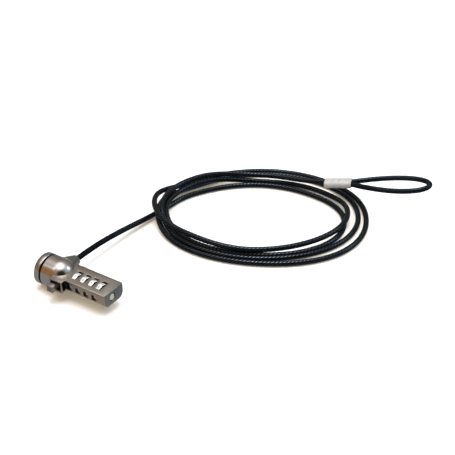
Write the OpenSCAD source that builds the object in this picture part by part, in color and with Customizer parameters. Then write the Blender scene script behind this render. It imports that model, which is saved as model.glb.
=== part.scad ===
// Four-dial combination cable lock for a laptop security slot.
// Frame: origin at the centre of the locking face, +X from that face to the dial end,
// +Y the way the cable leaves, +Z up. Millimetres.
// The lock body lies level, its round head touching the ground plane at z = -head_d/2,
// and the cable lies beside it as a loose hand-wound coil.

/* [Head] */
// diameter of the round locking head
head_d = 21; // [20.6:0.1:21.4]
// length of the collar at the locking face, up to the rubber ring
nose_len = 4.4; // [4.3:0.05:4.45]
// width of the rubber ring
ring_w = 1.6; // [1.4:0.05:1.65]
// distance from the locking face to the start of the dome
dome_x = 14; // [13.9:0.1:14.1]
// wall of the head shell
shell_t = 1.6; // [1.5:0.05:1.7]

/* [T-bar and guard pins] */
// length of the T-bar's cross head, for a 7 x 3 slot
tee_len = 6.6; // [6:0.1:6.8]
// width of the T-bar's cross head
tee_w = 2.8; // [2.4:0.1:2.9]
// distance from the locking face to the near side of the cross head
tee_neck = 3.4; // [3:0.1:3.8]
// radius of the T-bar's shaft
tee_r = 1.3; // [1.2:0.05:1.35]
// distance of each guard pin from the head's axis
guard_off = 2.45; // [2.4:0.01:2.5]
// radius of a guard pin
guard_r = 0.8; // [0.7:0.05:0.82]
// how far the guard pins stand out of the locking face
travel = 2.6; // [2:0.1:2.6]

/* [Dial body] */
// distance from the locking face to the end face
body_end = 57.1; // [56.9:0.1:58]
// width of the dial body
body_w = 17.54; // [17.4:0.02:17.7]
// height of the flat top above the head's axis
top_z = 5.28; // [5.2:0.02:5.4]
// height of the flat bottom
bot_z = -4.4; // [-4.5:0.05:-4.35]
// radius of the two lower long edges
belly_r = 4; // [3.6:0.1:4.2]

/* [Dials] */
// spacing of the dials
dial_pitch = 6.5; // [6.4:0.05:6.55]
// position of the first window's centre
window_x = 28.9; // [28.8:0.05:29]
// width of each window
window_w = 4.3; // [4:0.05:4.4]
// place of the dial shaft across the body, from the head's axis
dial_y = -1.2; // [-1.25:0.01:-1.15]
// height of the dial shaft
dial_z = 0.44; // [0.4:0.01:0.5]
// distance from a dial's centre to its corners
dial_r = 5.5; // [5.3:0.05:5.5]
// thickness of a dial
dial_w = 3; // [2.8:0.1:3.1]

/* [Cable] */
// diameter over the plastic jacket
cable_d = 3.9; // [3.5:0.1:3.9]
// diameter of the steel rope inside
rope_d = 2.6; // [2.2:0.1:2.8]
// position of the cable boss along the head
boss_x = 11.4; // [11.3:0.05:11.5]
// reach of the cable boss from the head's axis
boss_y = 18; // [17.8:0.1:18.5]
// long half axis of the middle of the coil
coil_a = 69.2; // [69:0.1:70]
// short half axis of the middle of the coil
coil_b = 53.7; // [53.5:0.1:54.5]
// direction of the coil's long axis, degrees from +X
coil_dir = 32.3; // [32:0.1:33]
// side-by-side spacing of the turns in the coil
lay = 4.3; // [4.3:0.05:4.4]
// rise where one turn rides over another
ride = 4.15; // [4.15:0.05:4.3]
// steps along the coil
coil_steps = 176; // [160:8:208]

/* [Hidden] */
$fn = 72;
gap = 0.03;       // fitting gap between separate pieces
over = 1;         // how far a cut runs past the surface it opens
head_r = head_d / 2;
bore_r = head_r - shell_t;
half_w = body_w / 2;
cable_r = cable_d / 2;
ring_gap = 0.02;  // on each side of the rubber ring
shell_x = nose_len + ring_w + 2 * ring_gap;

// ---- helpers: a range is [from, to] along an axis
function span(middle, half) = [middle - half, middle + half];
function inset(range, by) = [range[0] + by, range[1] - by];
module block(x, y, z) {
  translate([x[0], y[0], z[0]]) cube([x[1] - x[0], y[1] - y[0], z[1] - z[0]]);
}
// rods along each axis, tapering to end_r if it is given
module rod_z(z, r, end_r = undef) {
  translate([0, 0, z[0]]) cylinder(h = z[1] - z[0], r1 = r, r2 = is_undef(end_r) ? r : end_r);
}
module rod_x(x, r, y = 0, z = 0, end_r = undef) {
  translate([x[0], y, z]) rotate([0, 90, 0]) rod_z([0, x[1] - x[0]], r, end_r);
}
module rod_y(y, r, x, end_r = undef) {
  translate([x, y[0], 0]) rotate([-90, 0, 0]) rod_z([0, y[1] - y[0]], r, end_r);
}
module shaft_rod(x, r) { rod_x(x, r, dial_y, dial_z); }
module guard_rods(x, r, end_r = undef) {
  for (side = [-1, 1]) rod_x(x, r, 0, side * guard_off, end_r);
}

// round-ended head form of radius r, from start to the tip of the dome
module head_form(start, r) {
  rotate([0, 90, 0]) rotate_extrude() union() {
    translate([0, start]) square([r, dome_x - start]);
    intersection() {
      translate([0, dome_x]) circle(r);
      translate([0, dome_x - 0.001]) square([r + over, r + over]);
    }
  }
}

// ---- sizes shared by several pieces
tee_pin_x = shell_x + 1;
tee_pin_r = 0.5;
tee_pin_hole_r = tee_pin_r + 0.02;
lever_x = [16.9, 21.6];
lever_y = [-16.5, -4.7];
lever_z = [-1.9, 2.6];
slot_z = inset(lever_z, -0.2);     // slot the lever slides in
box_x = [15.8, 25.6];              // lever box on the -Y side
box_y = -12.4;                     // its outer face
box_wall = 0.9;
spindle_r = 1.5;
tail_r = 0.95;                     // thin end of the spindle
spigot_r = 3;                      // spigot of the cable boss
screw_seat_x = 20.1;               // where the body screws' heads seat
screw_r = 0.9;
cover_screw_r = 0.65;
cover_head_r = 1.2;
cover_head_h = 0.6;
module body_screw_spots() { for (z = [-1.6, 2.6]) translate([0, 6.6, z]) children(); }
module cover_screw_spots() {
  for (x = [25.5, 53.4], side = [-1, 1]) translate([x, side * 4.6, 0]) children();
}

// ---- head
nose_chamfer = 0.6;
module nose_cap() {
  color([0.62, 0.58, 0.54]) difference() {
    union() {
      rod_x([0, nose_chamfer], head_r - nose_chamfer, end_r = head_r);
      rod_x([nose_chamfer, nose_len], head_r);
      rod_x([nose_len - 0.5, shell_x + 2.1], bore_r - gap);
    }
    rod_x([-over, shell_x + 3], tee_r + 0.02);
    guard_rods([-over, shell_x + 3], guard_r + 0.06);
    rod_y(span(0, 6.5), tee_pin_hole_r, tee_pin_x);
  }
}
module head_ring() {
  color([0.03, 0.03, 0.03]) difference() {
    rod_x([nose_len + ring_gap, nose_len + ring_w + ring_gap], head_r - 0.15);
    rod_x([nose_len - over, nose_len + 2], bore_r);
  }
}
module head_shell() {
  color([0.66, 0.62, 0.58]) difference() {
    head_form(shell_x, head_r);
    head_form(shell_x - over, bore_r);
    // side slot for the release lever
    block(inset(box_x, box_wall), [-head_r - over, -3], slot_z);
    shaft_rod([dome_x, dome_x + head_r + over], spindle_r + 0.1);
    // screws into the dial body
    body_screw_spots() {
      rod_x([15.8, screw_seat_x], 1.75);
      rod_x([screw_seat_x - 0.3, 25], screw_r + 0.05);
    }
    // spigot of the cable boss
    rod_y([bore_r - 3, head_r + over], spigot_r + gap, boss_x);
  }
}
tee_head_t = 1.9;   // thickness of the cross head
module t_bar() {
  color([0.75, 0.75, 0.76]) difference() {
    union() {
      rod_x([-tee_neck - 0.2, shell_x + 1.9], tee_r);
      intersection() {
        rod_x([-tee_neck - tee_head_t, -tee_neck], tee_len / 2);
        block([-tee_neck - 2, -tee_neck + over], span(0, tee_len), span(0, tee_w / 2));
      }
    }
    rod_y(span(0, 3), tee_pin_hole_r, tee_pin_x);
  }
}
module t_bar_pin() { color([0.7, 0.7, 0.7]) rod_y(span(0, 6.3), tee_pin_r, tee_pin_x); }

// ---- dial body
dial_count = 4;
dial_shift = 0.3;                  // dials sit this much nearer the locking face than windows
function window_at(i) = window_x + i * dial_pitch;
function dial_at(i) = window_at(i) - dial_shift;
chamber_x = [26.6, 52];            // dial chamber
room_z = [slot_z[0], top_z - box_wall]; // inside of the lever box
window_z = [-1.6, 2.6];            // openings in the -Y side
cover_x = [24, 54.6];              // pocket of the belly cover
cover_y = span(0, 6.5);
cover_top = -3.1;
recess_x = body_end - 1.85;        // floor of the reset screw's recess

// cross-section of the dial body: flat top, round lower edges
module body_section(start) {
  translate([start, 0, 0]) rotate([90, 0, 90]) linear_extrude(height = body_end - start) union() {
    translate([-half_w, bot_z + belly_r]) square([body_w, top_z - bot_z - belly_r]);
    translate([-half_w + belly_r, bot_z]) square([body_w - 2 * belly_r, belly_r + 1]);
    for (side = [-1, 1]) translate([side * (half_w - belly_r), bot_z + belly_r]) circle(belly_r);
  }
}
module window_cuts(y, z) {
  for (i = [0:dial_count - 1]) block(span(window_at(i), window_w / 2), y, z);
}
module dial_body() {
  color([0.50, 0.46, 0.42]) difference() {
    union() {
      body_section(19.5);
      block(box_x, [box_y, -6], [-3, top_z]);
    }
    // seat of the head
    head_form(shell_x, head_r + gap);
    // lever box: open toward -Y, and through the wall that faces the dials
    block(inset(box_x, box_wall), [box_y - over, -4], room_z);
    block([box_x[1] - box_wall - over, box_x[1] + over], [box_y + box_wall, -half_w], room_z);
    // opening in the corner beside the lever box
    block([box_x[1] - 0.1, 28.6], [-half_w - over, -7], [window_z[0], room_z[1]]);
    block([box_x[1] - 0.1, 27], [-7.1, -4.6], [window_z[0], room_z[1]]);
    // dial chamber, its windows and its slots in the -Y side
    block(chamber_x, [-7.3, 5.1], [bot_z - over, top_z - 0.7]);
    shaft_rod([22, chamber_x[0] + 0.1], 3);
    window_cuts([-4.9, 3.7], [top_z - 2, top_z + over]);
    window_cuts([-half_w - over, -7], window_z);
    // belly cover
    block(cover_x, cover_y, [bot_z - over, cover_top]);
    cover_screw_spots() rod_z([-3.2, -0.8], cover_screw_r + 0.01);
    // screws from the head
    body_screw_spots() rod_x([18.8, 28], screw_r + 0.02);
    // reset screw and its recess
    shaft_rod([chamber_x[1] - over, body_end], 1.9);
    shaft_rod([recess_x, body_end + over], 2.9);
  }
}
cover_play = 0.07;                 // around the cover screws
module belly_cover() {
  hole_r = cover_screw_r + cover_play;
  color([0.45, 0.42, 0.39]) difference() {
    intersection() {
      body_section(20);
      block(inset(cover_x, gap), inset(cover_y, gap), [bot_z - over, cover_top - gap]);
    }
    head_form(shell_x, head_r + gap);
    window_cuts([-5.8, 3.4], [bot_z - over, 0]);
    cover_screw_spots() {
      rod_z([bot_z - over, bot_z + 2], hole_r);
      rod_z([bot_z - 0.01, bot_z + cover_head_h + 0.01], cover_head_r + cover_play, hole_r);
    }
  }
}
module cover_screws() {
  color([0.3, 0.3, 0.3]) cover_screw_spots() difference() {
    union() {
      rod_z([bot_z, bot_z + cover_head_h], cover_head_r, cover_screw_r);
      rod_z([bot_z + 0.5, bot_z + 3.4], cover_screw_r);
    }
    // cross recess
    for (turn = [0, 90]) rotate([0, 0, turn])
      block(span(0, 0.75), span(0, 0.14), [bot_z - 0.1, bot_z + 0.3]);
  }
}
module body_screws() {
  color([0.6, 0.6, 0.6]) body_screw_spots() difference() {
    union() {
      rod_x([18.9, screw_seat_x - gap], 1.6);
      rod_x([20, 27.8], screw_r);
    }
    // cross recess
    for (turn = [0, 90]) rotate([turn, 0, 0]) block([18.3, 19.4], span(0, 1), span(0, 0.2));
  }
}

// ---- dials
hub_r = 3.6;
lug_half_w = 0.65;                 // lugs on the spindle
lug_h = 2.7;
lug_play = 0.15;
module dial(i) {
  color([0.90, 0.88, 0.82]) difference() {
    shaft_rod(span(dial_at(i), dial_w / 2), dial_r, $fn = 10);
    shaft_rod(span(dial_at(i), 3), hub_r + 0.05);
  }
}
module dial_1() { dial(0); }
module dial_2() { dial(1); }
module dial_3() { dial(2); }
module dial_4() { dial(3); }
// cup inside a dial, open toward the locking face; its floor has a gate for the spindle's lug
module code_hub(i) {
  x = dial_at(i);
  gate_h = lug_h + lug_play;
  color([0.80, 0.68, 0.38]) difference() {
    shaft_rod([x - 1.95, x + 2.25], hub_r);
    shaft_rod(span(x, 3), spindle_r + 0.06);
    block(span(x, 3), span(dial_y, lug_half_w + lug_play), [dial_z, dial_z + gate_h]);
    shaft_rod([x - 3, x + 0.5], gate_h + gap);
  }
}
module code_hub_1() { code_hub(0); }
module code_hub_2() { code_hub(1); }
module code_hub_3() { code_hub(2); }
module code_hub_4() { code_hub(3); }
module detent_comb() {
  color([0.72, 0.72, 0.70]) union() {
    block([27, 51.8], [4.6, 5.0], [2.2, 3.6]);
    for (i = [0:dial_count - 1]) block(span(dial_at(i), 0.9), [4.38, 4.62], [-2, 3.2]);
  }
}

// ---- release lever and what it carries
carrier_x = [9, 11.4];
module release_lever() {
  color([0.48, 0.42, 0.38]) union() {
    block(lever_x, lever_y, lever_z);
    block([9.3, lever_x[0] + 1], [-6.9, lever_y[1]], lever_z);
  }
}
module pin_carrier() {
  cut_x = [carrier_x[0] - over, 12];
  color([0.66, 0.60, 0.42]) difference() {
    rod_x(carrier_x, 6.2);
    block(cut_x, [-8, lever_y[1] + gap], inset(lever_z, -gap));
    shaft_rod(cut_x, spindle_r + gap);
    guard_rods(cut_x, guard_r + 0.02);
  }
}
module guard_pins() {
  color([0.78, 0.78, 0.78]) union() {
    guard_rods([-travel + 0.2, 11.3], guard_r);
    guard_rods([-travel, -travel + 0.25], guard_r - 0.2, guard_r);
  }
}
module lock_spindle() {
  color([0.74, 0.74, 0.74]) union() {
    shaft_rod([9.1, 48.3], spindle_r);
    shaft_rod([48, 52], tail_r);
    for (i = [0:dial_count - 1])
      block([dial_at(i) - 2.8, dial_at(i) - 2.2], span(dial_y, lug_half_w),
        [dial_z, dial_z + lug_h]);
  }
}

// ---- sweeps: rings of points around a path, joined by triangles
function unit(v) = v / norm(v);
function tangent(path, i) = unit(path[min(i + 1, len(path) - 1)] - path[max(i - 1, 0)]);
// up gives the frame where the path is level
function rings(path, r, sides, up) = [for (i = [0:len(path) - 1])
  let (ahead = tangent(path, i), across = unit(cross(up, ahead)), above = cross(ahead, across))
    for (k = [0:sides - 1]) let (angle = 360 * (k + 0.5) / sides)
      path[i] + r * (cos(angle) * across + sin(angle) * above)];
// faces between successive rings, from point number first
function skin(first, count, sides) = [for (i = [0:count - 2], k = [0:sides - 1])
  let (a = first + i * sides + k, b = first + i * sides + (k + 1) % sides)
    each [[a, b + sides, b], [a, a + sides, b + sides]]];
// flat end between an outer ring and the inner ring that lies inner points later
function end_faces(first, inner, sides) = [for (k = [0:sides - 1])
  let (a = first + k, b = first + (k + 1) % sides)
    each [[a, b, inner + b], [a, inner + b, inner + a]]];
function flip(faces) = [for (face = faces) [face[0], face[2], face[1]]];

// solid round wire
module wire(path, r, sides, up = [0, 0, 1]) {
  count = len(path);
  polyhedron(points = rings(path, r, sides, up),
    faces = concat([[for (k = [0:sides - 1]) k]],
      [[for (k = [0:sides - 1]) count * sides - 1 - k]],
      skin(0, count, sides)));
}
// tube wall between two radii
module tube(path, outer_r, inner_r, sides, up = [0, 0, 1]) {
  count = len(path);
  inner = count * sides;
  polyhedron(
    points = concat(rings(path, outer_r, sides, up), rings(path, inner_r, sides, up)),
    faces = concat(skin(0, count, sides), flip(skin(inner, count, sides)),
      end_faces(0, inner, sides), flip(end_faces(inner - sides, inner, sides))));
}

spring_turns = 6;
spring_steps = 18;                 // per turn
spring_x = 11.85;
spring_len = 9.7;
spring_r = 2.55;
module return_spring() {
  total = spring_turns * spring_steps;
  path = [for (i = [0:total]) let (angle = 360 * i / spring_steps)
    [spring_x + spring_len * i / total,
     dial_y + spring_r * cos(angle), dial_z + spring_r * sin(angle)]];
  color([0.6, 0.6, 0.62]) wire(path, 0.35, 6, [1, 0, 0]);
}

// ---- code reset
reset_groove_x = [51.3, 51.75];
reset_groove_r = 1.5;
module reset_screw() {
  color([0.83, 0.71, 0.42]) difference() {
    union() {
      shaft_rod([51.05, recess_x + 0.02], 1.86);
      shaft_rod([recess_x + 0.01, body_end - 0.45], 2.0);
    }
    shaft_rod([50, body_end - 2.2], tail_r + 0.07);
    difference() {
      shaft_rod(reset_groove_x, 3);
      shaft_rod([51, 52], reset_groove_r);
    }
    // driver slot
    block([body_end - 1.1, body_end], span(dial_y, 3), span(dial_z, 0.3));
  }
}
module reset_clip() {
  color([0.5, 0.5, 0.5]) difference() {
    shaft_rod(inset(reset_groove_x, gap), 2.8);
    shaft_rod([51, 52], reset_groove_r + gap);
    block([51, 52], span(dial_y, 1.1), [dial_z - 4, dial_z]);
  }
}

// ---- cable swivel
stud_r = 2.2;
stud_head_r = 2.8;
stud_seat_y = 12.3;                // step in the boss under the stud's head
swivel_groove_y = [7.3, 7.8];
swivel_groove_r = 1.7;
module swivel_boss() {
  color([0.60, 0.57, 0.48]) difference() {
    union() {
      difference() {
        rod_y([7, boss_y], 7.4, boss_x, 3.3);
        head_form(-3, head_r + 0.02);
      }
      rod_y([7.9, 11], spigot_r, boss_x);
    }
    rod_y([7, boss_y + over], stud_r + 0.05, boss_x);
    rod_y([stud_seat_y, boss_y + over], stud_head_r + 0.06, boss_x);
  }
}
module swivel_stud() {
  color([0.7, 0.7, 0.7]) difference() {
    union() {
      rod_y([7, 12.6], stud_r, boss_x);
      rod_y([stud_seat_y + 0.05, boss_y - 0.05], stud_head_r, boss_x);
    }
    difference() {
      rod_y(swivel_groove_y, 3, boss_x);
      rod_y([7, 8], swivel_groove_r, boss_x);
    }
    rod_y([13, boss_y + over], cable_r + gap, boss_x);
  }
}
module swivel_clip() {
  color([0.5, 0.5, 0.5]) difference() {
    rod_y(inset(swivel_groove_y, gap), 3.2, boss_x);
    rod_y([7, 8], swivel_groove_r + gap, boss_x);
    block(span(boss_x, 1.2), [7, 8], [-4, 0]);
  }
}

// ---- cable: a lead from the swivel, a hand-wound coil, a crimped end loop
// Place of the cable across the bundle at each station, in cable spacings outward
// from the bundle's middle. One row to a turn.
stations = 8;
lane = [
  -0.8, -2.4, -2.8, -3.2, -2.0, -0.5, -0.6, -0.9,
  -0.8, -0.9, -1.5, -1.3, -1.4, -1.3, -0.7, -0.4,
   1.2,  0.9,  2.2,  2.1,  1.7,  2.6,  1.6,  1.1,
   0.4, -0.1,  1.0,  1.0,  0.4,  0.6,  0.4,  0.1,
  -0.2, -0.4, -1.2, -0.4];
// How many cables it rides on at each station.
level = [
  0,   0,   0,   0,   0, 0, 0,    0,
  1.1, 1,   0,   0,   1, 1, 0.95, 1.6,
  2.3, 0.3, 0,   0,   0, 0, 0,    0,
  1.1, 0,   0,   0,   0, 0, 0,    0.1,
  2,   1.9, 1.1, 1.4];
function entry(list, i) = list[max(0, min(len(list) - 1, i))];
// smooth curve through the entries
function spline(list, x) =
  let (i = floor(x), t = x - i, before = entry(list, i - 1), here = entry(list, i),
    next = entry(list, i + 1), after = entry(list, i + 2))
  0.5 * (2 * here + (next - before) * t
    + (2 * before - 5 * here + 4 * next - after) * t * t
    + (3 * here - before - 3 * next + after) * t * t * t);
// level at each entry, easing from one to the next
function ease(list, x) = let (i = floor(x), t = x - i)
  entry(list, i) + (entry(list, i + 1) - entry(list, i)) * t * t * (3 - 2 * t);
function bezier(start, leave, arrive, stop, t) = pow(1 - t, 3) * start
  + 3 * t * pow(1 - t, 2) * leave + 3 * t * t * (1 - t) * arrive + t * t * t * stop;

coil_middle = [74.4, 141.3];
coil_start_angle = 175.7;
floor_z = cable_r + gap - head_r;  // centre of a cable lying on the ground
// point on the coil after a number of turns
function coil(turns) =
  let (angle = coil_start_angle - 360 * turns, out = lay * spline(lane, stations * turns),
    along = (coil_a + out) * cos(angle), across = (coil_b + out) * sin(angle))
  [coil_middle[0] + along * cos(coil_dir) - across * sin(coil_dir),
   coil_middle[1] + along * sin(coil_dir) + across * cos(coil_dir),
   floor_z + ride * ease(level, stations * turns)];
coil_from = 0.04;                  // in turns
coil_to = 4.25;
coil_start = coil(coil_from);
coil_end = coil(coil_to);
coil_start_t = unit(coil(coil_from + 0.01) - coil_start);
coil_end_t = unit(coil_end - coil(coil_to - 0.01));
lead_start = [boss_x, 18.8, 0];

// crimp sleeve: near and far end, direction, and sideways direction
crimp_near = [99.8, 193.0, 0.3];
crimp_far = [118.9, 199.1, 3.5];
crimp_t = unit(crimp_far - crimp_near);
crimp_n = unit(cross([0, 0, 1], crimp_t));
strand_off = cable_r + 0.1;        // half the spacing of the two cables in the sleeve
function strand(point, side, ahead) = point + side * strand_off * crimp_n + ahead * crimp_t;

// end loop, by angle around it
loop_tip = [173, 211, 13];
loop_t = unit(loop_tip - crimp_far);
loop_n = unit(cross([0, 0, 1], loop_t));
loop_len = norm(loop_tip - crimp_far);
loop_w = 11.4;
loop_steps = 26;
function end_loop(angle) = crimp_far + loop_t * loop_len * (1 - cos(angle)) / 2
  + loop_n * (loop_w * sin(angle) * sin(angle / 2) + strand_off * cos(angle / 2));

cable_path = concat(
  [[boss_x, 13.1, 0], [boss_x, 17, 0]],
  [for (i = [0:17]) bezier(lead_start, lead_start + [-2, 42, -1],
    coil_start - 38 * coil_start_t, coil_start, i / 18)],
  [for (i = [0:coil_steps]) coil(coil_from + (coil_to - coil_from) * i / coil_steps)],
  [for (i = [1:6]) bezier(coil_end, coil_end + 14 * coil_end_t,
    strand(crimp_near, 1, -15), strand(crimp_near, 1, -1), i / 6)],
  [strand(crimp_near, 1, 1), strand(crimp_far, 1, -1), strand(crimp_far, 1, 0.8)],
  [for (i = [2:loop_steps - 2]) end_loop(i * 360 / loop_steps)],
  [strand(crimp_far, -1, 0.8), strand(crimp_far, -1, -1), strand(crimp_near, -1, 1.2)]);

module cable_jacket() { color([0.03, 0.03, 0.04]) tube(cable_path, cable_r, rope_d / 2, 8); }
module cable_rope() { color([0.55, 0.56, 0.58]) wire(cable_path, rope_d / 2 - 0.02, 8); }
sleeve_x = [0, 19.7];
sleeve_r = 2.75;
module crimp_sleeve() {
  up = cross(crimp_t, crimp_n);
  color([0.80, 0.78, 0.72]) translate(crimp_near) multmatrix([
      [crimp_t[0], crimp_n[0], up[0], 0],
      [crimp_t[1], crimp_n[1], up[1], 0],
      [crimp_t[2], crimp_n[2], up[2], 0],
      [0, 0, 0, 1]])
    difference() {
      union() {
        for (side = [-1, 1]) rod_x(sleeve_x, sleeve_r, side * strand_off);
        block(sleeve_x, span(0, strand_off), span(0, sleeve_r));
      }
      for (side = [-1, 1]) rod_x([-over, 21], cable_r + 0.04, side * strand_off);
      block([-over, 21], span(0, strand_off), span(0, 1));
    }
}

nose_cap();
head_ring();
head_shell();
t_bar();
t_bar_pin();
dial_body();
belly_cover();
cover_screws();
body_screws();
dial_1();
dial_2();
dial_3();
dial_4();
code_hub_1();
code_hub_2();
code_hub_3();
code_hub_4();
detent_comb();
release_lever();
pin_carrier();
guard_pins();
lock_spindle();
return_spring();
reset_screw();
reset_clip();
swivel_boss();
swivel_stud();
swivel_clip();
cable_jacket();
cable_rope();
crimp_sleeve();
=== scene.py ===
# Laptop cable lock. The lock body lies along X. Its cable leaves towards +Y, coils on the
# ground and comes back through a crimp sleeve to close an eye at its far end.
# Sizes are in millimetres unless said otherwise; MM turns them into the scene's metres.
import bpy
import bmesh
import math
from functools import reduce
from mathutils import Vector, Matrix

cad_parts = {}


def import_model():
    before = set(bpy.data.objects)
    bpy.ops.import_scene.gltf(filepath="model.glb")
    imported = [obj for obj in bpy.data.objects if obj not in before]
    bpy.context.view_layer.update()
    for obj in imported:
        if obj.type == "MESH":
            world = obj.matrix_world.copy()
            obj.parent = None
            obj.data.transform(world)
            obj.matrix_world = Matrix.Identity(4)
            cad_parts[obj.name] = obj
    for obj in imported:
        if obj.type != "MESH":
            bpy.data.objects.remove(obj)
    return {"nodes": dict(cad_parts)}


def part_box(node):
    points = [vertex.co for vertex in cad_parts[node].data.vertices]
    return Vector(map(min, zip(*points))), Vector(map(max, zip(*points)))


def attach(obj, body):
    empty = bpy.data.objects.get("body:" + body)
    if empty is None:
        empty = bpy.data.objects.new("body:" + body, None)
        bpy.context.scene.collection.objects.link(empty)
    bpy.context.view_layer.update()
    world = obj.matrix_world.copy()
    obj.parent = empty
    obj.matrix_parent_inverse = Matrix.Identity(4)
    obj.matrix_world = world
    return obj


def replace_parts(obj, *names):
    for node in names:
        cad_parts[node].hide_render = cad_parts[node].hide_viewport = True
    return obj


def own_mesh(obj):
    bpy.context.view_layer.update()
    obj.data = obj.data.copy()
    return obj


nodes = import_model()["nodes"]
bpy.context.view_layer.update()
scene = bpy.context.scene

MM = 0.001
UP = Vector((0, 0, 1))
FLOOR_Z = -10.5
DIAL_AXIS_Y, DIAL_AXIS_Z = -1.2, 0.44  # the dials and the return spring share this axis


# ---------------------------------------------------------------- shader helpers
class Graph:
    """An emptied shader node tree, with short ways to add to it."""

    def __init__(self, tree):
        self.tree = tree
        tree.nodes.clear()

    def feed(self, socket, value):
        """Links another node's output into socket, or sets its value; colours are RGB."""
        if isinstance(value, bpy.types.NodeSocket):
            self.tree.links.new(value, socket)
        elif socket.type == "RGBA":
            socket.default_value = (*value, 1)
        else:
            socket.default_value = value

    def node(self, kind, inputs=None, **settings):
        node = self.tree.nodes.new("ShaderNode" + kind)
        for name, value in settings.items():
            setattr(node, name, value)
        for key, value in (inputs or {}).items():
            self.feed(node.inputs[key], value)
        return node

    def remap(self, value, span, to=(0.0, 1.0), **settings):
        """Maps the range span onto the range to."""
        inputs = {"From Min": span[0], "From Max": span[1],
                  "To Min": to[0], "To Max": to[1], "Value": value}
        return self.node("MapRange", inputs, **settings).outputs[0]

    def mix(self, factor, a, b, **settings):
        # sockets 6, 7 and output 2 are the colour ones
        node = self.node("Mix", data_type="RGBA", **settings)
        for index, value in ((0, factor), (6, a), (7, b)):
            self.feed(node.inputs[index], value)
        return node.outputs[2]

    def calc(self, operation, *values):
        return self.node("Math", dict(enumerate(values)), operation=operation).outputs[0]

    def dot(self, a, b):
        node = self.node("VectorMath", {0: a, 1: b}, operation="DOT_PRODUCT")
        return node.outputs["Value"]


class Material(Graph):
    """A Principled material whose patterns lie in object space, in millimetres."""

    def __init__(self, name):
        self.data = bpy.data.materials.new(name)
        self.data.use_nodes = True
        super().__init__(self.data.node_tree)
        self.output = self.node("OutputMaterial")
        self.shader = self.node("BsdfPrincipled")
        self.surface(self.shader)
        coords = self.node("TexCoord").outputs["Object"]
        self.mm = self.node("Mapping", {"Scale": (1000, 1000, 1000), 0: coords}).outputs[0]

    def surface(self, shader):
        self.feed(self.output.inputs[0], shader.outputs[0])

    def set(self, **inputs):
        """Feeds shader inputs, written with underscores for spaces."""
        for name, value in inputs.items():
            self.feed(self.shader.inputs[name.replace("_", " ")], value)

    def paint_over(self, mask, colour):
        """Covers the base colour made so far wherever mask is 1."""
        so_far = self.shader.inputs["Base Color"].links[0].from_socket
        self.set(Base_Color=self.mix(mask, so_far, colour))

    def xyz(self):
        return self.node("SeparateXYZ", {0: self.mm}).outputs

    def noise(self, scale, stretch=(1, 1, 1), detail=4, rough=0.55, offset=(0, 0, 0)):
        place = self.node("Mapping", {"Scale": stretch, "Location": offset, 0: self.mm})
        inputs = {"Scale": scale, "Detail": detail, "Roughness": rough,
                  "Vector": place.outputs[0]}
        return self.node("TexNoise", inputs).outputs["Fac"]

    def edge(self, radius):
        """1 on edges and 0 on flats, and the rounded normal that goes with it."""
        rounded = self.node("Bevel", {"Radius": radius * MM}, samples=6).outputs[0]
        normal = self.node("NewGeometry").outputs["Normal"]
        return self.remap(self.dot(rounded, normal), span=(1.0, 0.8)), rounded

    def bump(self, height, strength, distance=0.02, normal=None):
        inputs = {"Strength": strength, "Distance": distance * MM, "Height": height}
        if normal is not None:
            inputs["Normal"] = normal
        return self.node("Bump", inputs).outputs[0]


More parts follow.
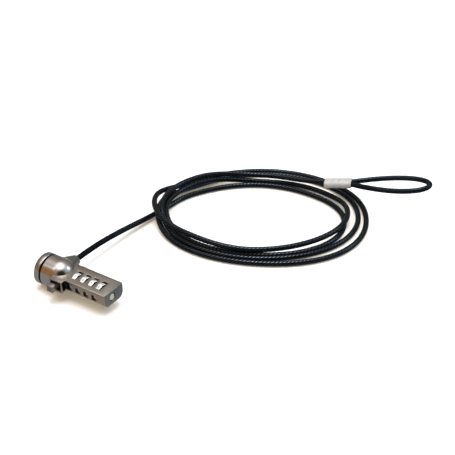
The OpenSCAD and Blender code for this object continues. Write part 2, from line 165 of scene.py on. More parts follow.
# ---------------------------------------------------------------- metals
# base and warm: the two tones the metal drifts between; worn: its rubbed edges, partly wear
# and partly a painted highlight
# rough, spread: middle and half range of the roughness
# grain, grain_scale, grain_bump: stretch, fineness and depth of the surface marks
# edge: width of the rubbed and highlighted edge; blotch: scale of the drift between the tones
METALS = {
    # lathe marks run round the axis, so they vary mostly along X
    "polished_shell": dict(
        base=(0.50, 0.45, 0.40), warm=(0.58, 0.51, 0.44), wear_and_highlight=(0.86, 0.82, 0.76),
        rough=0.19, spread=0.04, grain=(9, 0.25, 0.25), grain_scale=1.4, grain_bump=0.12,
        edge=0.35),
    "satin_body": dict(
        base=(0.335, 0.290, 0.247), warm=(0.39, 0.340, 0.290), wear_and_highlight=(0.95, 0.84, 0.75),
        rough=0.40, spread=0.06, grain_scale=7, grain_bump=0.35, edge=0.32),
    "belly": dict(
        base=(0.20, 0.18, 0.16), warm=(0.25, 0.22, 0.20), wear_and_highlight=(0.6, 0.55, 0.5),
        rough=0.42, spread=0.06, grain=(0.3, 6, 6), grain_scale=2, grain_bump=0.25, edge=0.2),
    "hardened_steel": dict(
        base=(0.52, 0.52, 0.53), warm=(0.60, 0.59, 0.58), wear_and_highlight=(0.8, 0.8, 0.8),
        rough=0.26, spread=0.06, grain=(7, 0.4, 0.4), grain_scale=2, edge=0.15),
    "dark_steel": dict(
        base=(0.16, 0.16, 0.17), warm=(0.21, 0.20, 0.20), wear_and_highlight=(0.45, 0.45, 0.45),
        rough=0.34, spread=0.08, edge=0.1),
    "spring_steel": dict(
        base=(0.50, 0.50, 0.52), warm=(0.56, 0.56, 0.56), wear_and_highlight=(0.75, 0.75, 0.75),
        rough=0.28, spread=0.06, edge=0.08),
    "brass": dict(
        base=(0.90, 0.83, 0.58), warm=(0.94, 0.89, 0.66), wear_and_highlight=(0.98, 0.96, 0.84),
        rough=0.30, spread=0.07, grain=(8, 0.5, 0.5), grain_scale=2, edge=0.15,
        metallic=0.6),
    "lever_metal": dict(
        base=(0.26, 0.225, 0.21), warm=(0.33, 0.285, 0.265), wear_and_highlight=(0.95, 0.87, 0.82),
        rough=0.33, spread=0.06, grain=(1, 6, 1), grain_scale=2, grain_bump=0.25, edge=0.34),
    "boss_metal": dict(
        base=(0.36, 0.34, 0.26), warm=(0.44, 0.42, 0.33), wear_and_highlight=(0.85, 0.83, 0.72),
        rough=0.30, spread=0.06, grain=(0.3, 8, 0.3), grain_scale=1.5),
    "dial": dict(
        base=(0.80, 0.77, 0.70), warm=(0.86, 0.84, 0.77), wear_and_highlight=(0.93, 0.92, 0.88),
        rough=0.46, spread=0.06, grain=(6, 1, 1), grain_scale=3, grain_bump=0.2, edge=0.2),
    "crimp": dict(
        base=(0.47, 0.445, 0.41), warm=(0.54, 0.52, 0.485), wear_and_highlight=(0.70, 0.68, 0.65),
        rough=0.52, spread=0.06, grain_scale=5, grain_bump=0.45, edge=0.3, blotch=0.25,
        metallic=0.25),
    "rope": dict(
        base=(0.52, 0.53, 0.55), warm=(0.60, 0.60, 0.61), wear_and_highlight=(0.8, 0.8, 0.8),
        rough=0.35, spread=0.08, edge=0.1),
}


def metal(name, base, warm, wear_and_highlight, rough, spread, grain=(1, 1, 1), grain_scale=6,
          grain_bump=0.15, edge=0.25, blotch=0.12, metallic=1.0):
    m = Material(name)
    drift = m.noise(scale=blotch, detail=3)
    marks = m.noise(scale=grain_scale, stretch=grain, detail=5, rough=0.6)
    pits = m.noise(scale=2.3, detail=6, rough=0.7)
    on_edge, rounded = m.edge(edge)
    colour = m.mix(m.remap(drift, span=(0.35, 0.65)), base, warm)
    pitted = m.remap(pits, span=(0.60, 0.78), to=(0, 0.35))
    pit_shade = 0.55  # brightness of the pits against the base
    colour = m.mix(pitted, colour, tuple(c * pit_shade for c in base))
    patchy = m.remap(m.noise(scale=0.9, detail=5), span=(0.3, 0.6), to=(0.45, 1.0))
    # the edges are lightened: partly real wear, partly a painted highlight along them
    colour = m.mix(m.calc("MULTIPLY", on_edge, patchy), colour, wear_and_highlight)
    grained = m.remap(marks, span=(0.3, 0.7), to=(rough - spread, rough + spread))
    duller = m.remap(pits, span=(0.55, 0.8), to=(0, 0.10))
    m.set(Metallic=metallic, Base_Color=colour,
          Roughness=m.calc("ADD", grained, duller),
          Normal=m.bump(marks, strength=grain_bump, distance=0.01, normal=rounded))
    return m


def blacken_flanks(m):
    """Painted shade: black on the faces that look along X, which sit in the shaded gaps
    beside the dials, leaving the rim facets satin.
    """
    normal = m.node("NewGeometry").outputs["True Normal"]
    along_x = m.node("SeparateXYZ", {0: normal}).outputs[0]
    facing = 0.7  # least X part of the normal that counts as a flank
    flank = m.calc("GREATER_THAN", m.calc("ABSOLUTE", along_x), facing)
    m.paint_over(flank, (0.012, 0.011, 0.010))
    m.set(Metallic=m.remap(flank, span=(0, 1), to=(0.35, 0.0)))


def blacken_inside(m):
    """Painted shade: black and matt wherever the casting is a third of a millimetre inside
    its skin, in the recesses where shade falls.
    """
    top, end = 5.28, 54.9  # its +Z face and +X end
    # the sides are rounded about lines at y = +-side_y, from side_z downwards
    side_y, side_z, side_radius = 4.77, -0.4, 4.0
    # the lever box, and the opening in the corner beside it
    box_x, box_y, box_z = (15.8, 25.6), -12.4, -3.0
    corner_x, corner_y, corner_z = (24.5, 28.62), (-9.1, -4.5), (-1.65, 4.42)
    calc = m.calc
    x, y, z = m.xyz()

    def least(*depths):
        return reduce(lambda a, b: calc("MINIMUM", a, b), depths)

    def above(axis, low):
        return calc("ADD", axis, -low) if low < 0 else calc("SUBTRACT", axis, low)

    def within(axis, low, high):
        return least(above(axis, low), calc("SUBTRACT", high, axis))

    below_top = calc("SUBTRACT", top, z)
    across = calc("MAXIMUM", calc("SUBTRACT", calc("ABSOLUTE", y), side_y), 0.0)
    down = calc("MAXIMUM", calc("SUBTRACT", side_z, z), 0.0)
    squares = calc("ADD", calc("MULTIPLY", across, across), calc("MULTIPLY", down, down))
    side_depth = calc("SUBTRACT", side_radius, calc("SQRT", squares))
    slab = least(below_top, side_depth, calc("SUBTRACT", end, x))
    box = least(within(x, *box_x), least(above(y, box_y), above(z, box_z)), below_top)
    depth = calc("MAXIMUM", slab, box)
    # painted shade: the opening is black right out to its rim
    corner = least(within(x, *corner_x), within(y, *corner_y), within(z, *corner_z))
    mask = calc("MAXIMUM", m.remap(depth, span=(0.30, 0.55)),
                m.remap(corner, span=(0.0, 0.03)))
    m.paint_over(mask, (0.010, 0.009, 0.008))
    m.set(Metallic=m.remap(mask, span=(0, 1), to=(1.0, 0.0)),
          Specular_IOR_Level=m.remap(mask, span=(0, 1), to=(0.5, 0.12)))


# ---------------------------------------------------------------- rubber, ink and vinyl
def rubber():
    m = Material("ring_rubber")
    fine = m.noise(scale=5, detail=5)
    drift = m.remap(m.noise(scale=0.8), span=(0.4, 0.7))
    m.set(Specular_IOR_Level=0.06,
          Base_Color=m.mix(drift, (0.0015, 0.0015, 0.0017), (0.003, 0.003, 0.003)),
          Roughness=m.remap(fine, span=(0.3, 0.7), to=(0.36, 0.55)),
          Normal=m.bump(fine, strength=0.25))
    return m


def ink():
    m = Material("digit_ink")
    drift = m.remap(m.noise(scale=6), span=(0.4, 0.7))
    m.set(Base_Color=m.mix(drift, (0.012, 0.011, 0.010), (0.035, 0.032, 0.03)),
          Roughness=0.5)
    return m


def vinyl():
    """Glossy black vinyl: the rope's strands lift its skin, and a faint bluish tint over them
    is partly the strands showing through and partly a painted sheen.
    """
    m = Material("jacket")
    strand = m.node("Attribute", attribute_name="strand").outputs["Fac"]
    drift = m.noise(scale=0.35, detail=3)
    fine = m.noise(scale=7, detail=5)
    colour = m.mix(m.remap(drift, span=(0.4, 0.65)),
                   (0.0020, 0.0021, 0.0027), (0.0042, 0.0042, 0.0048))
    over_strand = m.remap(strand, span=(0.45, 1.0))
    patchy = m.remap(drift, span=(0.40, 0.62), to=(0.15, 1.0))
    strand_tint_and_sheen = m.calc("MULTIPLY", over_strand, patchy)
    # the gloss grows along Y, from the lock towards the coil, and comes in long runs
    coiled = m.remap(m.xyz()[1], span=(40, 72), to=(0.2, 1.0))
    long_noise = m.noise(scale=0.045, detail=2, offset=(3.1, 1.7, 0))
    runs = m.calc("MULTIPLY", coiled, m.remap(long_noise, span=(0.42, 0.58), to=(0.15, 1.0)))
    shine = m.remap(strand, span=(0.30, 0.95), to=(0.10, 1.0))
    coat = m.remap(strand, span=(0.45, 1.0), to=(0.0, 1.0))
    # the bluish tint on the strand crests is partly strands seen through the vinyl, partly a
    # painted sheen
    m.set(Base_Color=m.mix(strand_tint_and_sheen, colour, (0.009, 0.011, 0.015)),
          Roughness=m.remap(fine, span=(0.3, 0.7), to=(0.12, 0.20)),
          IOR=1.5,
          Specular_IOR_Level=m.calc("MULTIPLY", coiled, shine),
          Specular_Tint=(0.72, 0.88, 1.0),
          Coat_Weight=m.calc("MULTIPLY", runs, coat),
          Coat_IOR=1.9,
          Coat_Roughness=0.10,
          Coat_Tint=(0.90, 0.96, 1.0),
          Normal=m.bump(fine, strength=0.12))
    return m


looks = {name: metal(name, **look) for name, look in METALS.items()}
# painted shade: black on the dials' flanks
blacken_flanks(looks["dial"])
# painted shade: black in the casting's slots, windows and opening
blacken_inside(looks["satin_body"])
looks.update(ring_rubber=rubber(), digit_ink=ink(), jacket=vinyl())

# ---------------------------------------------------------------- the loaded parts
PART_LOOK = {
    "nose_cap": "polished_shell", "head_ring": "ring_rubber", "head_shell": "polished_shell",
    "t_bar": "hardened_steel", "t_bar_pin": "hardened_steel",
    "dial_body": "satin_body", "belly_cover": "belly",
    "cover_screws": "dark_steel", "body_screws": "dark_steel",
    "dial_1": "dial", "dial_2": "dial", "dial_3": "dial", "dial_4": "dial",
    "code_hub_1": "brass", "code_hub_2": "brass", "code_hub_3": "brass",
    "code_hub_4": "brass", "detent_comb": "spring_steel",
    "release_lever": "lever_metal", "pin_carrier": "brass", "guard_pins": "hardened_steel",
    "lock_spindle": "hardened_steel", "return_spring": "spring_steel",
    "reset_screw": "brass", "reset_clip": "spring_steel",
    "swivel_boss": "boss_metal", "swivel_stud": "hardened_steel",
    "swivel_clip": "spring_steel",
    "cable_jacket": "jacket", "cable_rope": "rope", "crimp_sleeve": "crimp",
}
ROUNDING = {  # width of the bevel on each part's edges
    "dial_body": 0.30, "release_lever": 0.34, "nose_cap": 0.15, "swivel_boss": 0.2,
    "dial_1": 0.12, "dial_2": 0.12, "dial_3": 0.12, "dial_4": 0.12,
}
SHARP_ANGLE, SHARP_ANGLE_ROUND_WIRE = 24, 70  # degrees


def shade(mesh, sharp_degrees):
    mesh.shade_smooth()
    mesh.set_sharp_from_angle(angle=math.radians(sharp_degrees))


def round_edges(part, width):
    weld = part.modifiers.new("joined_corners", "WELD")
    weld.merge_threshold = 1e-6
    bevel = part.modifiers.new("rounded_edges", "BEVEL")
    bevel.width = width * MM
    bevel.segments = 2
    bevel.limit_method = "ANGLE"
    bevel.angle_limit = math.radians(50)
    bevel.use_clamp_overlap = True


for name, part in nodes.items():
    part.data.materials.clear()
    part.data.materials.append(looks[PART_LOOK[name]].data)
    round_wire = name == "return_spring" or name.startswith("cable")
    shade(part.data, SHARP_ANGLE_ROUND_WIRE if round_wire else SHARP_ANGLE)
for name, width in ROUNDING.items():
    round_edges(nodes[name], width)


# ---------------------------------------------------------------- mesh helpers
def link(name, data):
    ob = bpy.data.objects.new(name, data)
    scene.collection.objects.link(ob)
    return ob


def add_piece(mesh, body, look):
    """Puts a finished mesh in the scene under the mesh's own name, moving with body."""
    mesh.materials.append(looks[look].data)
    ob = link(mesh.name, mesh)
    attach(ob, body)
    return ob


def build(name, verts, faces, body, look, sharp=50):
    mesh = bpy.data.meshes.new(name)
    mesh.from_pydata([tuple(v) for v in verts], [], faces)
    mesh.validate()
    mesh.update()
    shade(mesh, sharp)
    return add_piece(mesh, body, look)


def bm_to_mesh(bm, name):
    bmesh.ops.recalc_face_normals(bm, faces=bm.faces)
    mesh = bpy.data.meshes.new(name)
    bm.to_mesh(mesh)
    bm.free()
    return mesh


def skin(starts, count, inward=False):
    """Quads joining rings of count points; starts holds each ring's first index."""
    faces = []
    for a, b in zip(starts, starts[1:]):
        for k in range(count):
            j = (k + 1) % count
            if inward:
                faces.append((a + j, a + k, b + k, b + j))
            else:
                faces.append((a + k, a + j, b + j, b + k))
    return faces


def sweep(path, radii, sides, up):
    """Points ring by ring round the path; radii holds one radius for each point."""
    points = []
    for i, centre in enumerate(path):
        ahead = path[min(i + 1, len(path) - 1)]
        along = (ahead - path[max(i - 1, 0)]).normalized()
        across = up.cross(along).normalized()
        over = along.cross(across)
        for k in range(sides):
            angle = 2 * math.pi * k / sides
            out = across * math.cos(angle) + over * math.sin(angle)
            points.append((centre + out * radii[i * sides + k]) * MM)
    return points


def tube(name, path, radii, sides, body, look, bore=None, up=UP):
    """A solid rod, or a tube with an inner wall when the radius bore is given."""
    verts = sweep(path, radii, sides, up)
    starts = [i * sides for i in range(len(path))]
    faces = skin(starts, sides)
    first, last = starts[0], starts[-1]
    if bore:
        wall = sweep(path, [bore] * len(radii), sides, up)
        inner_starts = []
        # the wall is plain, so every fourth ring is enough
        for i in sorted(set(range(0, len(path), 4)) | {len(path) - 1}):
            inner_starts.append(len(verts))
            verts += wall[i * sides:(i + 1) * sides]
        faces += skin(inner_starts, sides, inward=True)
        for o, i, flip in ((first, inner_starts[0], False), (last, inner_starts[-1], True)):
            for k in range(sides):
                j = (k + 1) % sides
                face = (o + k, i + k, i + j, o + j)
                faces.append(face[::-1] if flip else face)
    else:
        faces.append(tuple(first + k for k in range(sides))[::-1])
        faces.append(tuple(last + k for k in range(sides)))
    return build(name, verts, faces, body, look)


# ---------------------------------------------------------------- the cable's path: coil
CABLE_RADIUS = 1.95
COIL_CENTRE_X, COIL_CENTRE_Y = 74.4, 141.3
COIL_HALF_LENGTH, COIL_HALF_WIDTH = 69.2, 53.7
COIL_TURN = math.radians(32.3)  # of the oval's long axis from X
COIL_START_ANGLE = 175.7  # degrees, on the oval
COIL_FIRST, COIL_LAST = 0.04, 4.25  # in turns
LANE_PITCH, LEVEL_PITCH = 4.3, 4.15
GROUND_GAP = 0.03
PER_TURN = 8  # entries of LANE and LEVEL in one turn
# lanes outwards from the oval
LANE = [-0.8, -2.4, -2.8, -3.2, -2.0, -0.5, -0.6, -0.9,
        -0.8, -0.9, -1.5, -1.3, -1.4, -1.3, -0.7, -0.4,
        1.2, 0.9, 2.2, 2.1, 1.7, 2.6, 1.6, 1.1,
        0.4, -0.1, 1.0, 1.0, 0.4, 0.6, 0.4, 0.1,
        -0.2, -0.4, -1.2, -0.4]
# layers up from the ground
LEVEL = [0, 0, 0, 0, 0, 0, 0, 0,
         1.1, 1, 0, 0, 1, 1, 0.95, 1.6,
         2.3, 0.3, 0, 0, 0, 0, 0, 0,
         1.1, 0, 0, 0, 0, 0, 0, 0.1,
         2, 1.9, 1.1, 1.4]


def entry(table, i):
    return table[max(0, min(len(table) - 1, i))]


def spline(table, x):
    """Catmull-Rom curve through the table's entries."""
    i = math.floor(x)
    t = x - i
    p, q, r, s = (entry(table, i + step) for step in (-1, 0, 1, 2))
    return 0.5 * (2 * q + (r - p) * t + (2 * p - 5 * q + 4 * r - s) * t * t
                  + (3 * q - p - 3 * r + s) * t ** 3)


def ease(table, x):
    """Smooth steps from each entry to the next, level at both ends."""
    i = math.floor(x)
    t = x - i
    start = entry(table, i)
    return start + (entry(table, i + 1) - start) * t * t * (3 - 2 * t)


def coil(turns):
    angle = math.radians(COIL_START_ANGLE - 360 * turns)
    out = LANE_PITCH * spline(LANE, PER_TURN * turns)
    u = (COIL_HALF_LENGTH + out) * math.cos(angle)
    v = (COIL_HALF_WIDTH + out) * math.sin(angle)
    cos, sin = math.cos(COIL_TURN), math.sin(COIL_TURN)
    return Vector((
        COIL_CENTRE_X + u * cos - v * sin,
        COIL_CENTRE_Y + u * sin + v * cos,
        FLOOR_Z + CABLE_RADIUS + GROUND_GAP + LEVEL_PITCH * ease(LEVEL, PER_TURN * turns)))


# ---------------------------------------------------------------- the path: ends and eye
CABLE_X = 11.4  # where the cable leaves the lock
CABLE_START_Y, STRAIGHT_END_Y, LEAD_Y = 13.1, 17, 18.8
SLEEVE_START = Vector((99.8, 193.0, 0.3))
SLEEVE_END = Vector((118.9, 199.1, 3.5))
RUN_OFFSET = CABLE_RADIUS + 0.1  # each run's distance from the sleeve's middle
EYE_TIP = Vector((173, 211, 13))
EYE_BULGE = 11.4
EYE_STEPS, EYE_FIRST, EYE_LAST = 104, 8, 96  # steps in 360 degrees, and those used
TANGENT_STEP = 0.01  # turns
LAID_STEP, ROPE_STEP = 0.72, 1.4  # spacing of the rings

sleeve_along = (SLEEVE_END - SLEEVE_START).normalized()
sleeve_side = UP.cross(sleeve_along).normalized()


def bezier(a, b, c, d, t):
    return ((1 - t) ** 3 * a + 3 * t * (1 - t) ** 2 * b
            + 3 * t * t * (1 - t) * c + t ** 3 * d)


def eye(degrees):
    """The teardrop beyond the sleeve, from one run round its tip to the other."""
    f = math.radians(degrees)
    reach = EYE_TIP - SLEEVE_END
    along = reach.normalized()
    side = UP.cross(along).normalized()
    width = EYE_BULGE * math.sin(f) * math.sin(f / 2) + RUN_OFFSET * math.cos(f / 2)
    return SLEEVE_END + along * reach.length * (1 - math.cos(f)) / 2 + side * width


def lead_in():
    """From the lock out to the start of the coil."""
    start = Vector((CABLE_X, LEAD_Y, 0))
    end = coil(COIL_FIRST)
    along = (coil(COIL_FIRST + TANGENT_STEP) - end).normalized()
    away = start + Vector((-2, 42, -1))
    points = [Vector((CABLE_X, y, 0)) for y in (CABLE_START_Y, STRAIGHT_END_Y)]
    return points + [bezier(start, away, end - 38 * along, end, i / 60) for i in range(60)]


def lead_out():
    """From the coil into the sleeve, round the eye and back through the sleeve."""
    start = coil(COIL_LAST)
    along = (start - coil(COIL_LAST - TANGENT_STEP)).normalized()
    offset = RUN_OFFSET * sleeve_side
    enter = SLEEVE_START + offset
    points = [bezier(start, start + 14 * along, enter - 15 * sleeve_along,
                     enter - sleeve_along, i / 24) for i in range(1, 25)]
    leave, back = SLEEVE_END + offset, SLEEVE_END - offset
    points += [enter + sleeve_along, leave - sleeve_along, leave + 0.8 * sleeve_along]
    points += [eye(i * 360 / EYE_STEPS) for i in range(EYE_FIRST, EYE_LAST + 1)]
    points += [back + 0.8 * sleeve_along, back - sleeve_along]
    return points + [SLEEVE_START - offset + 1.2 * sleeve_along]


def resample(points, step):
    """The same line in equal steps of about the given length."""
    distance = [0.0]
    for a, b in zip(points, points[1:]):
        distance.append(distance[-1] + (b - a).length)
    count = round(distance[-1] / step)
    out, k = [], 0
    for i in range(count + 1):
        s = distance[-1] * i / count
        while k < len(points) - 2 and distance[k + 1] < s:
            k += 1
        t = (s - distance[k]) / max(1e-9, distance[k + 1] - distance[k])
        out.append(points[k].lerp(points[k + 1], min(1, max(0, t))))
    return out


def relaxed(points, times):
    for _ in range(times):
        middle = [(a + 2 * b + c) / 4 for a, b, c in zip(points, points[1:], points[2:])]
        points = [points[0]] + middle + [points[-1]]
    return points


coil_points = [coil(COIL_FIRST + (COIL_LAST - COIL_FIRST) * i / 1200) for i in range(1201)]
cable_path = relaxed(resample(lead_in() + coil_points + lead_out(), LAID_STEP), times=6)

# ---------------------------------------------------------------- jacket and rope
STRANDS, LAY_LENGTH = 6, 16.0  # strands in the rope, and the length of one twist
JACKET_RIDGE, JACKET_BORE, JACKET_SIDES = 0.07, 1.31, 36
ROPE_RADIUS, ROPE_RIDGE, ROPE_SIDES = 1.17, 0.10, 18


def strand_lobes(path, sides):
    """For each point of a sweep: 1 over a strand, -1 between two."""
    lobes, travelled = [], 0.0
    for i, centre in enumerate(path):
        if i:
            travelled += (centre - path[i - 1]).length
        twist = 2 * math.pi * travelled / LAY_LENGTH
        lobes += [math.cos(STRANDS * (2 * math.pi * k / sides + twist)) for k in range(sides)]
    return lobes


def store_strands(ob, values):
    """Writes the strand attribute, with 0 for the points that values leaves out."""
    attribute = ob.data.attributes.new("strand", "FLOAT", "POINT")
    rest = len(ob.data.vertices) - len(values)
    attribute.data.foreach_set("value", values + [0.0] * rest)


def cable():
    lobes = strand_lobes(cable_path, JACKET_SIDES)
    mean = CABLE_RADIUS - JACKET_RIDGE
    radii = [mean + JACKET_RIDGE * lobe for lobe in lobes]
    jacket = tube("cable_jacket_laid", cable_path, radii, JACKET_SIDES,
                  "cable", "jacket", bore=JACKET_BORE)
    store_strands(jacket, [max(0.0, lobe) for lobe in lobes])
    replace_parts(jacket, "cable_jacket")

    path = resample(cable_path, ROPE_STEP)
    radii = [ROPE_RADIUS + ROPE_RIDGE * lobe for lobe in strand_lobes(path, ROPE_SIDES)]
    rope = tube("cable_rope_laid", path, radii, ROPE_SIDES, "cable", "rope")
    store_strands(rope, [])
    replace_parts(rope, "cable_rope")


cable()

# ---------------------------------------------------------------- crimp sleeve
SLEEVE_LENGTH, SLEEVE_RADIUS, SLEEVE_BORE = 19.7, 2.75, 1.99
SLEEVE_SIDES, BORE_SIDES = 48, 24
LIP_LENGTH, LIP_DROP = 0.35, 0.30  # rounding of the end rims
PRESS_PITCH, PRESS_LENGTH = 5.25, 0.95  # the three pressed dents along the sleeve
DENT_DEPTH, DENT_WIDTH = 0.24, 2.2  # deepest share of the height, and its reach
PRESS_FLATTEN, PRESS_SPREAD = 0.035, 0.012  # shares of height lost and width gained
EVEN_STEP, EVEN_END = 0.37, 17.2  # spacing of the stations between the two lists below
FIRST_STATIONS = [0.0, 0.12, 0.35, 0.8, 1.6, 2.4]
LAST_STATIONS = [17.9, 18.6, 18.95, 19.35, 19.58, SLEEVE_LENGTH]


def oval(half, radius, count):
    """Two half circles whose centres are half away from the middle."""
    points = []
    for k in range(count):
        angle = 2 * math.pi * k / count
        cos = math.cos(angle)
        shift = half * max(-1.0, min(1.0, cos * 3.0))
        points.append((radius * cos + shift, radius * math.sin(angle)))
    return points


def sleeve_point(along, side, height):
    over = sleeve_along.cross(sleeve_side)
    return (SLEEVE_START + sleeve_along * along + sleeve_side * side + over * height) * MM


def sleeve_rim(station):
    """The outer section at a station, rounded at the ends and pressed at the dents."""
    lip = min(station, SLEEVE_LENGTH - station)
    radius = SLEEVE_RADIUS - LIP_DROP * max(0.0, 1 - lip / LIP_LENGTH) ** 2
    centres = [SLEEVE_LENGTH / 2 + PRESS_PITCH * i for i in (-1, 0, 1)]
    press = sum(math.exp(-((station - c) / PRESS_LENGTH) ** 2) for c in centres)
    points = []
    for side, height in oval(RUN_OFFSET, radius, SLEEVE_SIDES):
        dent = press * DENT_DEPTH * math.exp(-(side / DENT_WIDTH) ** 2)
        height *= (1 - dent) * (1 - PRESS_FLATTEN * press)
        points.append(sleeve_point(station, side * (1 + PRESS_SPREAD * press), height))
    return points


def crimp_sleeve():
    """A pressed oval tube with two bores."""
    stations = list(FIRST_STATIONS)
    while stations[-1] < EVEN_END:
        stations.append(stations[-1] + EVEN_STEP)
    stations += LAST_STATIONS
    verts, rims = [], []
    for station in stations:
        rims.append(len(verts))
        verts += sleeve_rim(station)
    bore_ends = []
    for along in (0.0, SLEEVE_LENGTH):
        starts = []
        for side in (-1, 1):
            starts.append(len(verts))
            for k in range(BORE_SIDES):
                angle = 2 * math.pi * (k + 0.5) / BORE_SIDES
                verts.append(sleeve_point(
                    along, side * RUN_OFFSET + SLEEVE_BORE * math.cos(angle),
                    SLEEVE_BORE * math.sin(angle)))
        bore_ends.append(starts)
    faces = skin(rims, SLEEVE_SIDES)
    for starts in zip(*bore_ends):
        faces += skin(starts, BORE_SIDES, inward=True)

    bm = bmesh.new()
    corners = [bm.verts.new(v) for v in verts]
    for face in faces:
        bm.faces.new([corners[i] for i in face])
    # close each end between the rim and the two bores
    for rim, bores in ((rims[0], bore_ends[0]), (rims[-1], bore_ends[1])):
        edges = []
        loops = [(rim, SLEEVE_SIDES)] + [(bore, BORE_SIDES) for bore in bores]
        for base, count in loops:
            edges += [bm.edges.get((corners[base + k], corners[base + (k + 1) % count]))
                      for k in range(count)]
        bmesh.ops.triangle_fill(bm, edges=edges, use_beauty=True, use_dissolve=False)
    mesh = bm_to_mesh(bm, "crimp_sleeve_pressed")
    shade(mesh, 40)
    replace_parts(add_piece(mesh, "cable", "crimp"), "crimp_sleeve")


crimp_sleeve()

# ---------------------------------------------------------------- rubber ring round the head
RING_INNER_RADIUS = 8.93
RING_CORNER, RING_CROWN = 0.14, 0.02  # corner radius, and rise of the crowned rim
RING_SIDES, CORNER_STEPS = 128, 5


def head_ring():
    lo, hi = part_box("head_ring")
    x0, x1, outer = lo.x / MM, hi.x / MM, hi.z / MM
    shoulder = outer - (RING_CORNER + RING_CROWN)
    corner = []  # how far in from the end face, and the radius there
    for k in range(CORNER_STEPS + 1):
        angle = math.pi / 2 * k / CORNER_STEPS
        corner.append((RING_CORNER - RING_CORNER * math.cos(angle),
                       shoulder + RING_CORNER * math.sin(angle)))
    flat_half = (x1 - x0 - 2 * RING_CORNER) / 2
    profile = [(x0, RING_INNER_RADIUS)]
    profile += [(x0 + inset, radius) for inset, radius in corner]
    profile += [((x0 + x1) / 2 + flat_half * t, outer - RING_CROWN + RING_CROWN * (1 - t * t))
                for t in (-0.5, 0, 0.5)]
    profile += [(x1 - inset, radius) for inset, radius in reversed(corner)]
    profile += [(x1, RING_INNER_RADIUS)]
    count = len(profile)
    verts, faces = [], []
    for i in range(RING_SIDES):
        angle = 2 * math.pi * i / RING_SIDES
        verts += [Vector((x, r * math.cos(angle), r * math.sin(angle))) * MM
                  for x, r in profile]
        faces += skin([(i + 1) % RING_SIDES * count, i * count], count)
    ring = build("head_ring_rounded", verts, faces, "housing", "ring_rubber")
    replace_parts(ring, "head_ring")


head_ring()

# ---------------------------------------------------------------- return spring
SPRING_RADIUS, SPRING_WIRE_RADIUS, SPRING_WIRE_SIDES = 2.55, 0.34, 14
SPRING_TURNS, STEPS_PER_TURN = 6, 36
SPRING_INSET = 0.35  # from each end of the part's box to the wire's centre


def return_spring():
    lo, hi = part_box("return_spring")
    x0, x1 = lo.x / MM + SPRING_INSET, hi.x / MM - SPRING_INSET
    steps = SPRING_TURNS * STEPS_PER_TURN
    path = []
    for i in range(steps + 1):
        angle = 2 * math.pi * i / STEPS_PER_TURN
        path.append(Vector((x0 + (x1 - x0) * i / steps,
                            DIAL_AXIS_Y + SPRING_RADIUS * math.cos(angle),
                            DIAL_AXIS_Z + SPRING_RADIUS * math.sin(angle))))
    radii = [SPRING_WIRE_RADIUS] * (len(path) * SPRING_WIRE_SIDES)
    spring = tube("return_spring_wound", path, radii, SPRING_WIRE_SIDES,
                  "lever", "spring_steel", up=Vector((1, 0, 0)))
    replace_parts(spring, "return_spring")
    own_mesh(spring)


return_spring()

# ---------------------------------------------------------------- digits on the dials
DIAL_RADIUS, FACETS = 5.5, 10
DIGIT_SIZE, DIGIT_THICKNESS = 2.6, 0.03  # the thickness goes to both sides
DIGIT_LIFT = 0.012
DIGIT_SHIFT = 3  # digits each dial is turned on from the one before


def digit_mesh(digit):
    text = bpy.data.curves.new("digit_" + digit, "FONT")
    text.body = digit
    text.size = DIGIT_SIZE * MM
    text.extrude = DIGIT_THICKNESS * MM
    text.align_x = "CENTER"
    text.align_y = "CENTER"
    text.resolution_u = 4
    ob = link("digit_" + digit, text)
    bpy.context.view_layer.update()
    mesh = bpy.data.meshes.new_from_object(
        ob.evaluated_get(bpy.context.evaluated_depsgraph_get()))
    bpy.data.objects.remove(ob)
    bpy.data.curves.remove(text)
    return mesh


def dial_digits(dial, digits):
    """One digit on each facet, the first just in front of the top."""
    lo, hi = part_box("dial_%d" % (dial + 1))
    half_facet = 180 / FACETS
    reach = (DIAL_RADIUS * math.cos(math.radians(half_facet)) + DIGIT_LIFT) * MM
    bm = bmesh.new()
    for k in range(FACETS):
        angle = math.radians(half_facet + 2 * half_facet * k)
        cos, sin = math.cos(angle), math.sin(angle)
        part = digits[(k + DIGIT_SHIFT * dial + 1) % 10].copy()
        part.transform(Matrix((
            (1, 0, 0, (lo.x + hi.x) / 2),
            (0, cos, -sin, DIAL_AXIS_Y * MM - sin * reach),
            (0, sin, cos, DIAL_AXIS_Z * MM + cos * reach),
            (0, 0, 0, 1))))
        bm.from_mesh(part)
        bpy.data.meshes.remove(part)
    bmesh.ops.remove_doubles(bm, verts=bm.verts, dist=1e-6)
    bmesh.ops.dissolve_degenerate(bm, edges=bm.edges, dist=1e-6)
    mesh = bm_to_mesh(bm, "dial_%d_digits" % (dial + 1))
    add_piece(mesh, "dial_%d_body" % (dial + 1), "digit_ink")


digits = [digit_mesh(str(k)) for k in range(10)]
for dial in range(4):
    dial_digits(dial, digits)
for mesh in digits:
    bpy.data.meshes.remove(mesh)

# ---------------------------------------------------------------- floor
FLOOR_HALF = 3.0  # metres


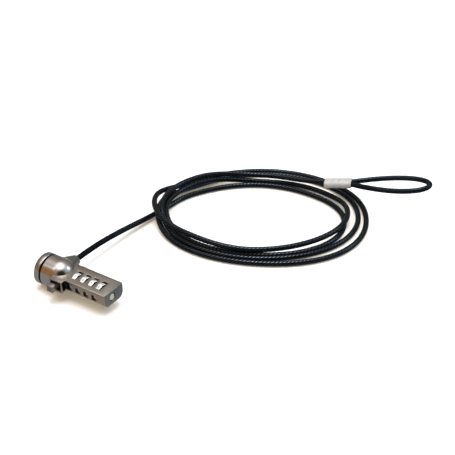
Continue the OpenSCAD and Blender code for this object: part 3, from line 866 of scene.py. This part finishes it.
def floor_material():
    m = Material("floor_pale")
    drift = m.noise(scale=0.02, detail=3)
    open_sky = m.node("AmbientOcclusion", {"Distance": 0.016}, samples=8).outputs["AO"]
    paper = m.mix(m.remap(drift, span=(0.3, 0.7)), (0.86, 0.857, 0.85), (0.88, 0.877, 0.87))
    # painted shade: the floor turns warm tan where ambient occlusion finds something close by
    colour = m.mix(m.remap(open_sky, span=(0.25, 0.85)), (0.90, 0.79, 0.66), paper)
    m.set(Base_Color=colour, Roughness=0.6, Specular_IOR_Level=0.1)

    # painted reflection: glossy rays see the ground as a glow, darker, warm towards +X and
    # bluer far towards +X and +Y
    x, y, _ = m.xyz()
    y_share = 0.6  # how much Y counts against X in finding the blue side
    blue_side = m.remap(m.calc("ADD", x, m.calc("MULTIPLY", y, y_share)), span=(45, 75))
    warm_side = m.remap(x, span=(18, 30))
    seen = m.mix(warm_side, (0.36, 0.37, 0.385), (0.62, 0.56, 0.49))
    seen = m.mix(blue_side, seen, (0.27, 0.345, 0.43))
    reflected = m.node("Emission", {0: seen}).outputs[0]
    rays = m.node("LightPath").outputs
    ground = m.node("MixShader", {0: rays["Is Glossy Ray"], 1: m.shader.outputs[0],
                                  2: reflected})

    # painted light: a little warm glow on the floor, seen only by the camera, that lifts the
    # shadows
    painted_glow_strength = 0.13
    strength = m.calc("MULTIPLY", rays["Is Camera Ray"], painted_glow_strength)
    painted_glow = m.node("Emission", {0: (1.0, 0.86, 0.62), 1: strength})
    lit = m.node("AddShader", {0: ground.outputs[0], 1: painted_glow.outputs[0]})

    # clear to the camera from below, so the underside can be seen
    behind = m.node("NewGeometry").outputs["Backfacing"]
    clear = m.node("BsdfTransparent").outputs[0]
    from_below = m.calc("MULTIPLY", behind, rays["Is Camera Ray"])
    m.surface(m.node("MixShader", {0: from_below, 1: lit.outputs[0], 2: clear}))
    return m.data


def floor():
    mesh = bpy.data.meshes.new("floor")
    corners = ((-1, -1), (1, -1), (1, 1), (-1, 1))
    mesh.from_pydata([(x * FLOOR_HALF, y * FLOOR_HALF, FLOOR_Z * MM) for x, y in corners],
                     [], [(0, 1, 2, 3)])
    ob = link("floor", mesh)
    mesh.materials.append(floor_material())


floor()

# ---------------------------------------------------------------- studio round the object
# height of the direction (0 at the horizon, 1 straight up), colour
SKY = (
    (0.0, (0.13, 0.165, 0.20)),
    (0.30, (0.24, 0.225, 0.215)),
    (0.60, (0.42, 0.38, 0.35)),
    (1.0, (0.50, 0.50, 0.52)),
)
# soft round patches: full within so many degrees of direction, gone at so many;
# ADD brings light, MIX replaces what is there with a darker colour
PATCHES = (
    dict(direction=(-0.46, -0.78, 0.20), full=8, gone=38, colour=(0.42, 0.235, 0.10),
         blend="MIX"),
    dict(direction=(0.60, -0.56, 0.56), full=16, gone=38, colour=(0.006, 0.006, 0.008),
         blend="MIX"),
    dict(direction=(-0.46, -0.42, 0.78), full=1, gone=13, colour=(1.0, 0.97, 0.92),
         strength=1.3),
    dict(direction=(-0.08, 0.06, 1.0), full=3, gone=40, colour=(0.95, 0.98, 1.04),
         strength=1.7),
    dict(direction=(0.0, 0.05, 1.0), full=4, gone=17, colour=(0.90, 0.98, 1.08),
         strength=8.0),
    dict(direction=(0.60, 0.45, 0.66), full=6, gone=34, colour=(0.22, 0.42, 0.62)),
    dict(direction=(0.551, 0.569, 0.608), full=3, gone=12, colour=(0.66, 0.98, 1.14),
         strength=3.6),
)


def add_patch(graph, below, view, direction, full, gone, colour, strength=1.0, blend="ADD"):
    nearness = graph.dot(view, tuple(Vector(direction).normalized()))
    span = (math.cos(math.radians(gone)), math.cos(math.radians(full)))
    cover = graph.remap(nearness, span=span, interpolation_type="SMOOTHSTEP")
    light = tuple(c * strength for c in colour)
    return graph.mix(cover, below, light, blend_type=blend)


def studio():
    world = bpy.data.worlds.new("studio")
    scene.world = world
    world.use_nodes = True
    graph = Graph(world.node_tree)
    view = graph.node("TexCoord").outputs["Generated"]
    height = graph.node("SeparateXYZ", {0: view}).outputs["Z"]
    gradient = graph.node("ValToRGB", {0: height})
    stops = gradient.color_ramp.elements  # starts with stops at 0 and 1
    stops[0].color = (*SKY[0][1], 1)
    stops[1].color = (*SKY[-1][1], 1)
    for position, colour in SKY[1:-1]:
        stops.new(position).color = (*colour, 1)
    sky = gradient.outputs[0]
    for patch in PATCHES:
        sky = add_patch(graph, sky, view, **patch)
    background = graph.node("Background", {0: sky, 1: 1.0})
    graph.node("OutputWorld", {0: background.outputs[0]})


studio()

# ---------------------------------------------------------------- lights, in metres and watts
LIGHTS = {
    "key_overhead": dict(place=(0.05, 0.20, 1.05), target=(0.08, 0.09, 0), size=2.4,
                         power=11, colour=(0.98, 0.99, 1.0)),
    "key_back_right": dict(place=(0.85, 0.95, 0.80), target=(0.08, 0.09, 0), size=0.9,
                           power=1.6, colour=(0.98, 0.99, 1.0)),
    "fill_front": dict(place=(0.45, -0.75, 0.45), target=(0.05, 0.05, 0), size=0.8,
                       power=2.0, colour=(1.0, 0.94, 0.87)),
}


def area_light(name, place, target, size, power, colour):
    light = bpy.data.lights.new(name, "AREA")
    light.energy = power
    light.color = colour
    light.shape = "RECTANGLE"
    light.size = size
    light.size_y = size
    ob = link(name, light)
    ob.location = place
    aim = Vector(target) - Vector(place)
    ob.rotation_euler = aim.to_track_quat("-Z", "Y").to_euler()
    ob.visible_glossy = False


for name, light in LIGHTS.items():
    area_light(name, **light)

# ---------------------------------------------------------------- camera
CAMERA_PLACE = (0.3778, -0.3619, 0.3590)  # metres
CAMERA_DOWN = math.radians(32.81)  # tilt below level
CAMERA_YAW = math.radians(33.24)  # turn from +Y towards -X


def camera():
    data = bpy.data.cameras.new("photo_view")
    data.sensor_width = 36
    data.lens = 76.747253
    data.clip_start = 0.01
    ob = link("photo_view", data)
    right = Vector((math.cos(CAMERA_YAW), math.sin(CAMERA_YAW), 0))
    forward = Vector((-math.sin(CAMERA_YAW) * math.cos(CAMERA_DOWN),
                      math.cos(CAMERA_YAW) * math.cos(CAMERA_DOWN),
                      -math.sin(CAMERA_DOWN)))
    rows = zip(right, right.cross(forward), -forward, CAMERA_PLACE)
    ob.matrix_world = Matrix((*rows, (0, 0, 0, 1)))
    scene.camera = ob


camera()
scene.view_settings.view_transform = "Standard"
scene.view_settings.exposure = 0.0
